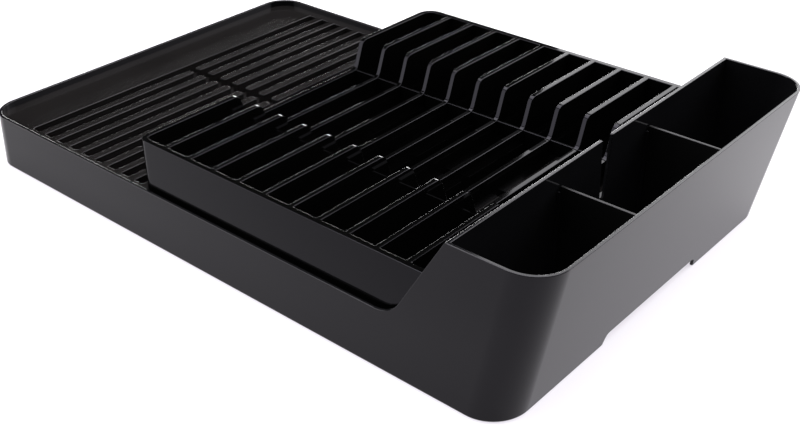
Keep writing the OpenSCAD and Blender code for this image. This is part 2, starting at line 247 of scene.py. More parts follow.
def shade(mesh):
    """Sets each corner's normal to the sum of the normals of the faces round its vertex that stand
    within SMOOTH_ANGLE of its own face, weighted by area cubed, so that flat faces stay flat and
    fillets turn smoothly between them."""
    vertex = np.empty(len(mesh.loops), int)
    mesh.loops.foreach_get("vertex_index", vertex)
    sides = np.empty(len(mesh.polygons), int)
    mesh.polygons.foreach_get("loop_total", sides)
    area = np.empty(len(mesh.polygons))
    mesh.polygons.foreach_get("area", area)
    normal = np.empty((len(mesh.polygons), 3))
    mesh.polygons.foreach_get("normal", normal.ravel())
    face = np.repeat(np.arange(len(sides)), sides)
    order = np.argsort(vertex, kind="stable")
    count = np.bincount(vertex)
    partners = count[vertex[order]]
    mine = np.repeat(np.arange(len(order)), partners)
    theirs = (np.repeat(np.cumsum(count) - count, count)[mine]
              + np.arange(len(mine)) - np.repeat(np.cumsum(partners) - partners, partners))
    own, other = face[order[mine]], face[order[theirs]]
    near = (normal[own] * normal[other]).sum(1) > math.cos(math.radians(SMOOTH_ANGLE))
    total = np.zeros((len(order), 3))
    np.add.at(total, mine, (near * area[other] ** 3)[:, None] * normal[other])
    corner = np.empty_like(total)
    corner[order] = total / np.maximum(np.linalg.norm(total, axis=1), 1e-60)[:, None]
    mesh.shade_smooth()
    mesh.normals_split_custom_set(corner.tolist())


def make_piece(name, shells, material, body, nodes=()):
    """Puts the shells into one mesh at the origin, merges their seams and turns every face outwards."""
    starts = np.cumsum([0] + [len(points) for points, _ in shells])
    points = np.concatenate([points for points, _ in shells])
    faces = [[start + i for i in face] for start, (_, group) in zip(starts, shells) for face in group]
    mesh = bpy.data.meshes.new(name)
    mesh.from_pydata(points.tolist(), [], faces)
    shape = bmesh.new()
    shape.from_mesh(mesh)
    bmesh.ops.remove_doubles(shape, verts=shape.verts, dist=0.001 * MM)
    bmesh.ops.delete(shape, geom=[v for v in shape.verts if not v.link_faces], context="VERTS")
    bmesh.ops.recalc_face_normals(shape, faces=shape.faces)
    shape.to_mesh(mesh)
    shape.free()
    shade(mesh)
    mesh.materials.append(material)
    piece = bpy.data.objects.new(name, mesh)
    bpy.context.scene.collection.objects.link(piece)
    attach(piece, body)
    if nodes:
        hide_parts(*nodes)
    return piece


# ---- Materials ----

def linear(hex_value):
    """sRGB hex to linear red, green, blue, alpha."""
    channels = [int(hex_value[i:i + 2], 16) / 255 for i in (1, 3, 5)]
    return tuple(c / 12.92 if c <= 0.04045 else ((c + 0.055) / 1.055) ** 2.4 for c in channels) + (1.0,)


def add_node(tree, kind, values=(), links=(), **settings):
    """Adds a node: settings are its own fields, values its sockets' constants, links their sources."""
    node = tree.nodes.new(kind)
    for field, value in settings.items():
        setattr(node, field, value)
    for socket, value in dict(values).items():
        node.inputs[socket].default_value = value
    for socket, source in dict(links).items():
        tree.links.new(source, node.inputs[socket])
    return node


def start_material(name):
    material = bpy.data.materials.new(name)
    material.use_nodes = True
    tree = material.node_tree
    tree.nodes.clear()
    place = add_node(tree, "ShaderNodeTexCoord")
    return material, tree, place.outputs["Object"]


def finish_material(tree, values, links):
    shader = add_node(tree, "ShaderNodeBsdfPrincipled", values, links)
    add_node(tree, "ShaderNodeOutputMaterial", links={"Surface": shader.outputs["BSDF"]})


def moulded_plastic(name, hex_value, gloss, grain, grain_bump, ior=1.25, hatch=0.0, tint=(0.94, 0.9, 1, 1)):
    """An injection moulded plastic. A broad noise is the flow of the melt, which shifts colour and
    gloss a little, and a fine noise is the spark-eroded grain of the mould. hatch adds a diagonal
    moulded hatch of that period."""
    material, tree, place = start_material(name)
    flow = add_node(tree, "ShaderNodeTexNoise", {"Scale": 1 / (60 * MM), "Detail": 3.0}, {"Vector": place})
    base = Vector(linear(hex_value)[:3])
    ramp = add_node(tree, "ShaderNodeValToRGB", links={"Fac": flow.outputs["Fac"]})
    ramp.color_ramp.elements[0].position = 0.3
    ramp.color_ramp.elements[1].position = 0.7
    ramp.color_ramp.elements[0].color = (*(base * 0.88), 1)
    ramp.color_ramp.elements[1].color = (*(base * 1.12), 1)
    sheen = add_node(tree, "ShaderNodeMapRange", {"To Min": gloss * 0.92, "To Max": gloss * 1.08},
                     {"Value": flow.outputs["Fac"]})
    fine = add_node(tree, "ShaderNodeTexNoise", {"Scale": 1 / grain, "Detail": 2.0}, {"Vector": place})
    bump = add_node(tree, "ShaderNodeBump", {"Strength": 1.0, "Distance": grain_bump},
                    {"Height": fine.outputs["Fac"]})
    if hatch:
        turned_place = add_node(tree, "ShaderNodeMapping", {"Rotation": (0, 0, math.radians(45))},
                                {"Vector": place})
        lines = add_node(tree, "ShaderNodeTexWave", {"Scale": 2 * math.pi / (20 * hatch), "Distortion": 1.5,
                                                     "Detail": 2.0, "Detail Scale": 1.2},
                         {"Vector": turned_place.outputs["Vector"]}, wave_type="BANDS", bands_direction="X")
        bump = add_node(tree, "ShaderNodeBump", {"Strength": 1.0, "Distance": 0.003 * MM},
                        {"Height": lines.outputs["Fac"], "Normal": bump.outputs["Normal"]})
    finish_material(tree, {"IOR": ior, "Specular Tint": tint},
                    {"Base Color": ramp.outputs["Color"], "Roughness": sheen.outputs["Result"],
                     "Normal": bump.outputs["Normal"]})
    return material


def satin_polypropylene(hex_value):
    """Charcoal polypropylene from a finely grained mould: dark, with a soft and even sheen."""
    return moulded_plastic("satin_polypropylene", hex_value, 0.08, 0.9 * MM, 0.001 * MM)


def hatched_polypropylene(hex_value):
    """The same plastic with a faint diagonal hatch in the mould, drawn coarser than it is."""
    return moulded_plastic("hatched_polypropylene", hex_value, 0.165, 0.9 * MM, 0.001 * MM, hatch=1.6 * MM)


def gloss_polypropylene(hex_value):
    """Black polypropylene from a polished mould: deep black faces and clear highlights."""
    return moulded_plastic("gloss_polypropylene", hex_value, 0.045, 4 * MM, 0.001 * MM, ior=1.19,
                           tint=(0.86, 0.82, 1, 1))


def satin_black_plastic(hex_value, name):
    """Thin satin black moulding."""
    return moulded_plastic(name, hex_value, 0.3, 0.9 * MM, 0.005 * MM)


def matt_rubber(hex_value):
    """Moulded thermoplastic rubber: matt, with a slight bloom."""
    return moulded_plastic("matt_rubber", hex_value, 0.7, 0.6 * MM, 0.02 * MM, ior=1.52)


def painted_floor(hex_value):
    """A matt painted studio floor, even and pale."""
    material, tree, place = start_material("painted_floor")
    mottle = add_node(tree, "ShaderNodeTexNoise", {"Scale": 3.0, "Detail": 2.0}, {"Vector": place})
    rough = add_node(tree, "ShaderNodeMapRange", {"To Min": 0.85, "To Max": 0.95},
                     {"Value": mottle.outputs["Fac"]})
    finish_material(tree, {"Base Color": linear(hex_value), "Specular IOR Level": 0.1,
                           "Emission Color": (0.96, 0.92, 1, 1), "Emission Strength": 0.75},
                    {"Roughness": rough.outputs["Result"]})
    return material


# ---- Tray ----

class Levels:
    """Heights and places shared by the tray's pieces, from the frame and the tray's sizes."""

    def __init__(self, tray, deck, caddy):
        self.left = TRAY[0].x
        self.half_w = TRAY[1].y
        self.inner = CADDY[0].x
        self.skirt = CADDY[0].z
        self.top = CADDY[1].z
        self.deck = RACK[0].z
        self.rim = self.deck + tray.deck_drop
        self.foot = self.inner + tray.base_w
        self.lean = (CADDY[1].x - self.foot) / (self.top - self.skirt)
        self.slope = math.tan(tray.draft)
        self.groove_floor = self.deck - deck.depth
        self.floor = self.skirt + caddy.floor_z


def rim_stations(tray, at):
    """Half of the tray's rim, from the middle of the left wall round the front to the middle of
    the right wall. Each station has its place on the outer face, the outward normal there, the
    rim's height and in-plane normal, the bottom edge's height and in-plane normal, and the share
    of the outer wall's lean that it takes."""
    low, corner_steps = -at.half_w, 14
    rise, rise_normal = round_corners(
        [(at.left, at.skirt, 0), (at.foot, at.skirt, 0), (at.foot, at.top, 0),
         (at.inner, at.top, tray.sweep_top_r), (at.inner - tray.sweep_run, at.rim, tray.sweep_r),
         (at.left, at.rim, 0)], 12)
    rise = np.concatenate([rise[4][::-1], rise[3][::-1]])
    rise_normal = np.concatenate([rise_normal[4][::-1], rise_normal[3][::-1]])
    right_start = at.foot - tray.right_r
    plain = np.linspace(at.left + tray.left_r, rise[0, 0], 8)[1:-1]
    level_x = np.linspace(rise[-1, 0], right_start, 5)[1:-1]
    front_x = np.concatenate([plain, rise[:, 0], level_x])
    front_z = np.concatenate([np.full(len(plain), at.rim), rise[:, 1], np.full(len(level_x), at.top)])
    front_n = np.concatenate([np.tile([0.0, 1.0], (len(plain), 1)), rise_normal,
                              np.tile([0.0, 1.0], (len(level_x), 1))])
    recess = tray.recess_w / 2
    cut, cut_normal = round_corners(
        [(-at.half_w, at.skirt, 0), (-recess, at.skirt, tray.recess_foot_r),
         (-recess + tray.recess_run, at.skirt + tray.recess_h, tray.recess_top_r),
         (0, at.skirt + tray.recess_h, 0), (0, at.top, 0), (-at.half_w, at.top, 0)], 6)
    cut, cut_normal = cut[1:3].reshape(-1, 2), cut_normal[1:3].reshape(-1, 2)
    right_y = np.concatenate([np.linspace(low + tray.right_r, cut[0, 0], 4)[1:-1], cut[:, 0], [0.0]])
    level = len(right_y) - len(cut) - 1
    right_b = np.concatenate([np.full(level, at.skirt), cut[:, 1], [at.skirt + tray.recess_h]])
    right_bn = np.concatenate([np.tile([0.0, -1.0], (level, 1)), cut_normal, [[0.0, -1.0]]])

    def arc(centre_x, radius, start):
        a = np.radians(np.linspace(start, start + 90, corner_steps + 1))
        normal = np.stack([np.cos(a), np.sin(a)], 1)
        return np.array([centre_x, low + radius]) + radius * normal, normal

    left_y = np.linspace(0, low + tray.left_r, 5)[:-1]
    left_arc, left_n = arc(at.left + tray.left_r, tray.left_r, 180)
    right_arc, right_n = arc(right_start, tray.right_r, 270)
    count = [len(left_y), len(left_arc), len(front_x), len(right_arc), len(right_y)]
    place = np.concatenate([
        np.stack([np.full(count[0], at.left), left_y], 1), left_arc,
        np.stack([front_x, np.full(count[2], low)], 1), right_arc,
        np.stack([np.full(count[4], at.foot), right_y], 1)])
    normal = np.concatenate([np.tile([-1.0, 0.0], (count[0], 1)), left_n,
                             np.tile([0.0, -1.0], (count[2], 1)), right_n,
                             np.tile([1.0, 0.0], (count[4], 1))])
    flat = [np.tile([0.0, 1.0], (n, 1)) for n in count]
    rim_z = np.concatenate([np.full(count[0] + count[1], at.rim), front_z,
                            np.full(count[3] + count[4], at.top)])
    rim_n = np.concatenate([flat[0], flat[1], front_n, flat[3], flat[4]])
    foot_z = np.concatenate([np.full(sum(count[:4]), at.skirt), right_b])
    foot_n = np.concatenate([-flat[0], -flat[1], -flat[2], -flat[3], right_bn])
    share = np.clip((place[:, 0] - at.inner) / (right_start - at.inner), 0, 1)
    return place, normal, rim_z, rim_n, foot_z, foot_n, share


def rim_wall(tray, at):
    """The wall round the whole tray. At each station a section runs up the outer face, over the
    rim, down the inner face and under the bottom edge. Rim and bottom fillets step back along
    the edge's own in-plane normal, so they keep their size on the sweep and the recess."""
    place, normal, rim_z, rim_n, foot_z, foot_n, share = rim_stations(tray, at)
    inset, drop = quarter(tray.fillet, 4)
    depth = np.concatenate([inset, tray.wall - inset[::-1]])
    back = np.concatenate([drop, drop[::-1]])
    along = np.stack([-normal[:, 1], normal[:, 0]], 1)

    def rows(edge_z, edge_n, depths, backs):
        z = edge_z - backs[:, None] * edge_n[:, 1]
        flat = (place - depths[:, None, None] * normal
                - (backs[:, None] * edge_n[:, 0])[..., None] * along)
        draft = (at.rim - z) * at.slope
        x = flat[..., 0] + share * (z - at.skirt) * at.lean + draft * np.minimum(normal[:, 0], 0)
        y = flat[..., 1] + draft * normal[:, 1]
        return np.stack([x, y, z], -1)

    rim = rows(rim_z, rim_n, depth, back)
    foot = rows(foot_z, foot_n, depth[::-1], back[::-1])
    half = np.concatenate([rim, foot])
    other = half[:, -2:0:-1] * np.array([1.0, -1.0, 1.0])
    return skin(np.concatenate([half, other], 1), loop=True)


def inner_wall(tray, deck, caddy, at):
    """The caddy's inner wall in two plates, above and below the deck: the upper one has the V
    slot, and the lower one, a little thinner, has the drain window. Their ends lie inside the
    tray's front and back walls."""
    reach = at.half_w - 0.8 * MM
    top_reach = reach - (at.top - at.rim) * at.slope
    top, foot = caddy.slot_top_w / 2, caddy.slot_foot_w / 2
    rim, low = at.top + LIFT, at.deck - BITE
    slot_z = at.deck + caddy.slot_rise - foot
    slot_top_r, slot_foot_r = 1.2 * MM, foot * 0.98
    upper = outline([
        (-reach, low, PLATE_R), (reach, low, PLATE_R), (top_reach, rim, PLATE_R), (top, rim, slot_top_r),
        (foot, slot_z, slot_foot_r), (-foot, slot_z, slot_foot_r), (-top, rim, slot_top_r),
        (-top_reach, rim, PLATE_R)])
    gap, window_r, thinner = deck.channel_w / 2, 0.6 * MM, 0.1 * MM
    lower = outline([
        (-reach, at.skirt, PLATE_R), (reach, at.skirt, PLATE_R), (reach, at.deck, PLATE_R),
        (gap, at.deck, window_r), (gap, at.groove_floor, window_r), (-gap, at.groove_floor, window_r),
        (-gap, at.deck, window_r), (-reach, at.deck, PLATE_R)])
    side = (1, 2, 0)
    return [slab(upper, at.inner, at.inner + tray.wall, tray.fillet, side),
            slab(lower, at.inner + thinner, at.inner + tray.wall - thinner, 2 * thinner, side)]


def deck_outline(tray, deck, at):
    """The deck's plan as one closed comb: out along the front edge, back along the channel with a
    groove's notch at each pitch, round the channel's left end, and the same way back."""
    edge = at.half_w - tray.wall / 2
    channel, closed = deck.channel_w / 2, at.half_w - deck.end_gap
    right = at.inner + tray.wall / 2
    first = at.left + deck.strip_w
    count = int((at.inner - first - deck.groove_w - deck.skin) / deck.pitch) + 1
    start = first + deck.pitch * np.arange(count)
    groove_end_r = 1.2 * MM

    def teeth(tip_r):
        """Four corners for each groove, from the left: its left side's tip and end, then its right's."""
        x = np.stack([start, start, start + deck.groove_w, start + deck.groove_w], 1).ravel()
        y = np.tile([channel, closed, closed, channel], count)
        r = np.tile([tip_r, groove_end_r, groove_end_r, tip_r], count)
        return np.stack([x, y, r], 1)[1:]

    front = teeth(deck.front_tip_r)[::-1] * np.array([1, -1, 1])
    back = teeth(deck.back_tip_r)
    left_r = tray.left_r - tray.wall / 2
    return outline(np.concatenate([
        [(at.left + tray.wall / 2, -edge, left_r), (right, -edge, PLATE_R), (right, -channel, PLATE_R)],
        front, back,
        [(right, channel, PLATE_R), (right, edge, PLATE_R), (at.left + tray.wall / 2, edge, left_r)]]))


class DISHRACK_OT_tray(bpy.types.Operator):
    """Add the tray's walls and the caddy's inner wall"""

    bl_idname = "dishrack.tray"
    bl_label = "Tray walls"

    def execute(self, context):
        rack = context.scene.dishrack
        tray, deck, caddy = rack.tray, rack.deck, rack.caddy
        at = Levels(tray, deck, caddy)
        shells = [rim_wall(tray, at)] + inner_wall(tray, deck, caddy, at)
        make_piece("tray_walls", shells, satin_polypropylene(tray.shell), "tray",
                   ("drip_tray", "cutlery_caddy"))
        return {"FINISHED"}


class DISHRACK_OT_deck(bpy.types.Operator):
    """Add the grooved deck and the floor of its grooves"""

    bl_idname = "dishrack.deck"
    bl_label = "Grooved deck"

    def execute(self, context):
        rack = context.scene.dishrack
        tray, deck = rack.tray, rack.deck
        at = Levels(tray, deck, rack.caddy)
        comb = deck_outline(tray, deck, at)
        wide = at.half_w - deck.end_gap + deck.skin
        bed = rectangle(at.left + deck.strip_w - deck.skin, at.inner + tray.wall / 2, -wide, wide,
                        2 * PLATE_R)
        shells = [slab(comb, at.groove_floor - deck.skin / 2, at.deck, deck.fillet),
                  slab(bed, at.groove_floor - deck.skin, at.groove_floor, deck.fillet)]
        make_piece("tray_deck", shells, hatched_polypropylene(deck.colour), "tray")
        return {"FINISHED"}


# ---- Caddy ----

def leaning(at, wall, gap, z):
    """Where the outer wall's inner face, set back by gap, stands at height z."""
    return at.foot + (z - at.skirt) * at.lean - (wall + gap) * math.hypot(1, at.lean)


def guide_ribs(tray, caddy, at, divider_y, divider_top):
    """Pairs of ribs up both long walls, either side of each divider's place."""
    top, low = divider_top - caddy.guide_drop, at.floor - BITE
    cavity = at.inner + tray.wall
    inside = outline([(low, cavity - BITE, EDGE_R), (top, cavity - BITE, EDGE_R),
                      (top, cavity + caddy.guide, 2 * EDGE_R), (low, cavity + caddy.guide, EDGE_R)][::-1])
    outside = outline([(low, leaning(at, tray.wall, caddy.guide, low), EDGE_R),
                       (top, leaning(at, tray.wall, caddy.guide, top), 2 * EDGE_R),
                       (top, leaning(at, tray.wall, -BITE, top), EDGE_R),
                       (low, leaning(at, tray.wall, -BITE, low), EDGE_R)][::-1])
    return [slab(rib, y - caddy.guide / 2, y + caddy.guide / 2, caddy.guide / 6, (2, 0, 1))
            for rib in (inside, outside) for y in divider_y]


class DISHRACK_OT_caddy(bpy.types.Operator):
    """Add the caddy's floor, guide ribs, outlet tube and the bosses for the feet"""

    bl_idname = "dishrack.caddy"
    bl_label = "Caddy inside"

    def execute(self, context):
        rack = context.scene.dishrack
        tray, caddy, small = rack.tray, rack.caddy, rack.small
        at = Levels(tray, rack.deck, caddy)
        boxes = [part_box("caddy_divider_front"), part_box("caddy_divider_back")]
        thick = boxes[0][1].y - boxes[0][0].y
        step = thick / 2 + caddy.guide_gap + caddy.guide / 2
        rib_y = [(low.y + high.y) / 2 + side * step for low, high in boxes for side in (-1, 1)]
        wide = at.half_w - tray.wall / 2
        right = leaning(at, tray.wall / 2, 0, at.floor)
        r = tray.right_r - tray.wall / 2
        left = at.inner + BITE                  # hidden inside the inner wall
        floor = outline([(left, -wide, PLATE_R), (right, -wide, r), (right, wide, r),
                         (left, wide, PLATE_R)], 10)
        pivot = ((SPOUT[0].x + SPOUT[1].x) / 2, 0)
        inner, outer = small.outlet_r, small.outlet_r + small.outlet_t
        bead, tiny_r = 0.4 * MM, 0.2 * MM       # the bead that the spout's collar snaps over
        tube_z = SPOUT[0].z + small.spout_t + 2.5 * MM
        tube = outline([(inner, tube_z, bead), (outer + bead, tube_z, EDGE_R),
                        (outer + bead, tube_z + 0.7 * MM, EDGE_R), (outer, tube_z + 0.8 * MM, tiny_r),
                        (outer, at.floor - BITE, tiny_r), (inner, at.floor - BITE, tiny_r)], 3)[0]
        boss_gap = 1.2 * MM                     # from a boss's top up to the face above it
        shells = [slab(floor, at.floor - caddy.floor_t, at.floor, EDGE_R), turned(tube, pivot, loop=True)]
        shells += guide_ribs(tray, caddy, at, rib_y, boxes[0][1].z)
        for name in FEET:
            low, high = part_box(name)
            centre = (low + high) / 2
            top = (at.deck if centre.x < at.inner else at.floor) - boss_gap
            radius, foot_top = (high.x - low.x) / 2, low.z + small.head_h
            shells.append(turned([(radius, foot_top), (radius, top)], centre))
        finish = satin_black_plastic(tray.shell, "satin_polypropylene_inside")
        make_piece("caddy_inside", shells, finish, "tray")
        return {"FINISHED"}


class DISHRACK_OT_dividers(bpy.types.Operator):
    """Add the two lift-out dividers of the caddy"""

    bl_idname = "dishrack.dividers"
    bl_label = "Caddy dividers"

    def execute(self, context):
        rack = context.scene.dishrack
        tray, caddy = rack.tray, rack.caddy
        at = Levels(tray, rack.deck, caddy)
        finish = satin_black_plastic(caddy.colour, "satin_black_divider")
        for side, body in (("front", "front_divider"), ("back", "back_divider")):
            node = "caddy_divider_" + side
            low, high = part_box(node)
            gap = low.x - at.inner - tray.wall
            middle = at.inner + tray.wall + tray.base_w / 2
            notch = caddy.notch_w / 2
            notch_z = low.z + caddy.notch_h
            shape = outline([
                (low.x, low.z, PLATE_R), (middle - notch, low.z, PLATE_R), (middle - notch, notch_z, PLATE_R),
                (middle + notch, notch_z, PLATE_R), (middle + notch, low.z, PLATE_R),
                (leaning(at, tray.wall, gap, low.z), low.z, PLATE_R),
                (leaning(at, tray.wall, gap, high.z), high.z, PLATE_R), (low.x, high.z, PLATE_R)])
            make_piece(node + "_plate", [slab(shape, low.y, high.y, caddy.fillet, (0, 2, 1))], finish, body,
                       (node,))
        return {"FINISHED"}


# ---- Plate rack ----

CORNER_STEPS = 8           # straight pieces in a slot's corner; even, so that one point is the corner itself
BLOCK = 14 * MM            # length of wall that belongs to a slot's corner, more than any corner's radius
CLEAR = 0.4 * MM           # least straight length left beside a corner's arc


def rack_profile(rack):
    """The rack's top edge seen along X, from front to back, as length along it, place, height and
    the normal: level, a rounded and leaning side, the dip's filleted floor, and the same again."""
    top, floor = RACK[1].z, RAILS[1].z
    half = rack.dip_len / 2
    half_top = half + (top - floor) * math.tan(rack.dip_lean)
    front, back = RACK[0].y, RACK[1].y
    points, normals = round_corners([
        (front, RACK[0].z, 0), (back, RACK[0].z, 0), (back, top, 0), (half_top, top, rack.top_r),
        (half, floor, rack.foot_r), (-half, floor, rack.foot_r), (-half_top, top, rack.top_r),
        (front, top, 0)], 8)
    points = np.concatenate([[(front, top)], points[6:2:-1, ::-1].reshape(-1, 2), [(back, top)]])
    normals = np.concatenate([[(0, 1)], normals[6:2:-1, ::-1].reshape(-1, 2), [(0, 1)]])
    run = np.concatenate([[0], np.cumsum(np.linalg.norm(np.diff(points, axis=0), axis=1))])
    return run, points, normals


def slot_corner(slot_r, outer_r, wall_x, wall_y, block_x):
    """One corner of a slot, from its end edge to its side, seen from the slot's own sharp corner
    with the slot towards +u and +v. Returns the slot's edge, its normal towards the slot, the
    matching point of the cell's outer boundary, and whether the point lies on the end's outer
    face or past the corner on the side's."""
    turn = np.linspace(0, math.pi / 2, CORNER_STEPS + 1)
    n = np.stack([np.sin(turn), np.cos(turn)], 1)
    edge = np.concatenate([[(block_x, 0)], slot_r * (1 - n), [(0, BLOCK)]])
    normal = np.concatenate([[(0, 1)], n, [(1, 0)]])
    if outer_r:
        outer = np.array([outer_r - wall_x, outer_r - wall_y]) - outer_r * n
    else:
        there = np.linspace(0, 2, CORNER_STEPS + 1)[:, None]
        start, corner, end = np.array([(2 * MM, -wall_y), (-wall_x, -wall_y), (-wall_x, 2 * MM)])
        outer = np.where(there <= 1, start + (corner - start) * there, corner + (end - corner) * (there - 1))
    outer = np.concatenate([[(block_x, -wall_y)], outer, [(-wall_x, BLOCK)]])
    on_end = np.arange(len(outer)) <= len(outer) // 2
    return edge, normal, outer, on_end


def slot_cell(rack, index, count, pitch, divider_t):
    """One slot with half of each divider beside it. The boundary of the slot runs round in
    (x, length along the profile); rows step from the cell's outer boundary over the top, round
    the fillet, down the slot's wall and back out along the bottom. Where the cell is on the
    rack's outside, more rows go over the outer fillet and down the outer face."""
    run, points, normals = rack_profile(rack)
    total = run[-1]
    first = RACK[0].x + rack.end_t
    x_low = first + index * pitch
    x_high = x_low + pitch - divider_t
    ends = [index == 0, index == count - 1]
    wall = [rack.end_t if ends[i] else divider_t / 2 for i in (0, 1)]
    front = (rack.front_r - rack.end_t if ends[0] else rack.left_slot_r,
             rack.front_r - rack.end_t if ends[1] else rack.right_slot_r)
    back = (rack.back_r - rack.end_t if ends[0] else rack.left_slot_r * 0.6,
            rack.back_r - rack.end_t if ends[1] else rack.left_slot_r * 0.6)
    width = x_high - x_low
    side_run = run[(run > BLOCK + rack.panel_t) & (run < total - BLOCK - rack.panel_t)]
    parts = []
    for at_back, at_right in ((0, 0), (0, 1), (1, 1), (1, 0)):
        slot_r = (back if at_back else front)[at_right]
        outer_r = (rack.back_r if at_back else rack.front_r) if ends[at_right] else 0
        block_x = max(width * 0.35, outer_r - wall[at_right] + CLEAR, slot_r + CLEAR)
        edge, normal, outer, on_end = slot_corner(slot_r, outer_r, wall[at_right], rack.panel_t, block_x)
        flip = np.array([-1.0 if at_right else 1.0, -1.0 if at_back else 1.0])
        base = np.array([x_high if at_right else x_low, total - rack.panel_t if at_back else rack.panel_t])
        outward = -normal * flip
        if not outer_r:
            outward = np.where(on_end[:, None], np.array([0.0, -1.0]) * flip, 0.0)
        block = [base + edge * flip, normal * flip, base + outer * flip, outward]
        runs_backwards = at_back == at_right
        parts.append([a[::-1] for a in block] if runs_backwards else block)
        if at_back == 0 and at_right == 1:
            parts.append(side_strip(x_high, x_high + wall[1], side_run, -1.0, ends[1]))
    parts.append(side_strip(x_low, x_low - wall[0], side_run[::-1], 1.0, ends[0]))
    edge, normal, outer, outward = (np.concatenate([part[i] for part in parts]) for i in range(4))
    outside = np.linalg.norm(outward, axis=1) > 0.5

    def lift(place, drop):
        """Onto the profile: along it by its length, and below it by drop along its normal."""
        at_y, at_z = (np.interp(place[:, 1], run, points[:, i]) for i in (0, 1))
        n_y, n_z = (np.interp(place[:, 1], run, normals[:, i]) for i in (0, 1))
        return np.stack([place[:, 0], at_y - drop * n_y, at_z - drop * n_z], 1)

    inset, drop = quarter(rack.fillet, 4)
    top = [lift(outer - rack.fillet * outward, 0)]
    top += [lift(edge - i * normal, d) for i, d in zip(inset[::-1], drop[::-1])]
    wall_foot, outer_foot = top[-1].copy(), lift(outer, 0)
    wall_foot[:, 2] = outer_foot[:, 2] = RACK[0].z
    shells = [skin(np.stack(top + [wall_foot, outer_foot]))]
    over = [lift(outer - i * outward, d) for i, d in zip(inset[::-1], drop[::-1])]
    down = over[-1].copy()
    down[:, 2] = RACK[0].z
    down[:, :2] = outer_foot[:, :2]
    face_points, faces = skin(np.stack(over + [down]))
    around = len(outer)
    keep = outside & np.roll(outside, -1)
    faces = [face for i, face in enumerate(faces) if keep[i % around]]
    return shells + [(face_points, faces)]


def side_strip(x, outer_x, along, towards, outside):
    """The straight part of a slot's side between two corners."""
    count = len(along)
    out = np.array([-towards if outside else 0.0, 0.0])
    return [np.stack([np.full(count, x), along], 1), np.tile([towards, 0.0], (count, 1)),
            np.stack([np.full(count, outer_x), along], 1), np.tile(out, (count, 1))]


class DISHRACK_OT_rack(bpy.types.Operator):
    """Add the plate rack's moulding and its cross rails"""

    bl_idname = "dishrack.rack"
    bl_label = "Plate rack"

    def execute(self, context):
        rack = context.scene.dishrack.rack
        first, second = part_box(RACK_DIVIDERS[0]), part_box(RACK_DIVIDERS[1])
        pitch, divider_t = second[0].x - first[0].x, first[1].x - first[0].x
        count = len(RACK_DIVIDERS) + 1
        finish = gloss_polypropylene(rack.colour)
        shells = [shell for i in range(count) for shell in slot_cell(rack, i, count, pitch, divider_t)]
        make_piece("plate_rack_moulding", shells, finish, "plate_rack",
                   ("rack_frame", *RACK_DIVIDERS))
        start = RACK[0].x + rack.end_t
        rails = []
        into = 0.8 * MM         # how far a rail's ends reach into the dividers
        for side in (-1, 1):
            y = side * (RAILS[1].y - rack.rail_t / 2)
            section = rectangle(y - rack.rail_t / 2, y + rack.rail_t / 2, RAILS[0].z, RAILS[1].z, 0.45 * MM)
            for i in range(count):
                x = start + i * pitch
                rails.append(slab(section, x - into, x + pitch - divider_t + into, EDGE_R, (1, 2, 0)))
        make_piece("plate_rack_rails", rails, finish, "plate_rack", ("rack_cross_rails",))
        return {"FINISHED"}


# ---- Spout and feet ----

class DISHRACK_OT_spout(bpy.types.Operator):
    """Add the swivel drain spout: a floor, a wall round three sides, and a collar"""

    bl_idname = "dishrack.spout"
    bl_label = "Drain spout"

    def execute(self, context):
        small = context.scene.dishrack.small
        low, high = SPOUT
        radius = (high.x - low.x) / 2
        x, back = (high.x + low.x) / 2, -radius
        inner, lip = radius - small.spout_t, high.y
        round_r, inner_r, lip_r = radius - LEAST_RADIUS, inner - LEAST_RADIUS, 0.6 * MM
        floor = outline([(x - radius, back, round_r), (x + radius, back, round_r),
                         (x + radius, lip, PLATE_R), (x - radius, lip, PLATE_R)], 16)
        wall = outline([
            (x - radius, back, round_r), (x + radius, back, round_r), (x + radius, lip, lip_r),
            (x + inner, lip, lip_r), (x + inner, -inner, inner_r), (x - inner, -inner, inner_r),
            (x - inner, lip, lip_r), (x - radius, lip, lip_r)], 16)
        collar_z = low.z + small.spout_t - 0.5 * MM     # its foot is hidden inside the floor
        collar = outline([(inner, collar_z, small.fillet / 2), (radius, collar_z, small.fillet / 2),
                          (radius, high.z, small.fillet), (inner, high.z, small.fillet)], 3)[0]
        shells = [slab(floor, low.z, low.z + small.spout_t, small.fillet),
                  slab(wall, low.z + LIFT, low.z + small.spout_h, small.fillet),
                  turned(collar, (x, 0), loop=True)]
        finish = satin_black_plastic(small.spout, "satin_black_spout")
        make_piece("drain_spout_channel", shells, finish, "spout", ("drain_spout",))
        return {"FINISHED"}


class DISHRACK_OT_feet(bpy.types.Operator):
    """Add the four rubber feet: a domed head and a stem each"""

    bl_idname = "dishrack.feet"
    bl_label = "Rubber feet"

    def execute(self, context):
        small = context.scene.dishrack.small
        finish = matt_rubber(small.rubber)
        for name in FEET:
            low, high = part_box(name)
            centre = (low + high) / 2
            radius, neck = (high.x - low.x) / 2, low.z + small.head_h
            inset, drop = quarter(0.8 * MM, 5)
            flat_edge, chamfer = 2.5 * MM, 0.5 * MM
            profile = np.concatenate([
                [(radius - flat_edge, low.z)],
                np.stack([radius - inset[::-1], low.z + drop[::-1]], 1),
                np.stack([radius - inset / 2, neck - drop / 2], 1),
                [(small.stem_r, neck), (small.stem_r, high.z - chamfer), (small.stem_r - chamfer, high.z)]])
            make_piece(name + "_pad", [turned(profile, centre)], finish, "tray", (name,))
        return {"FINISHED"}


# ---- Studio ----

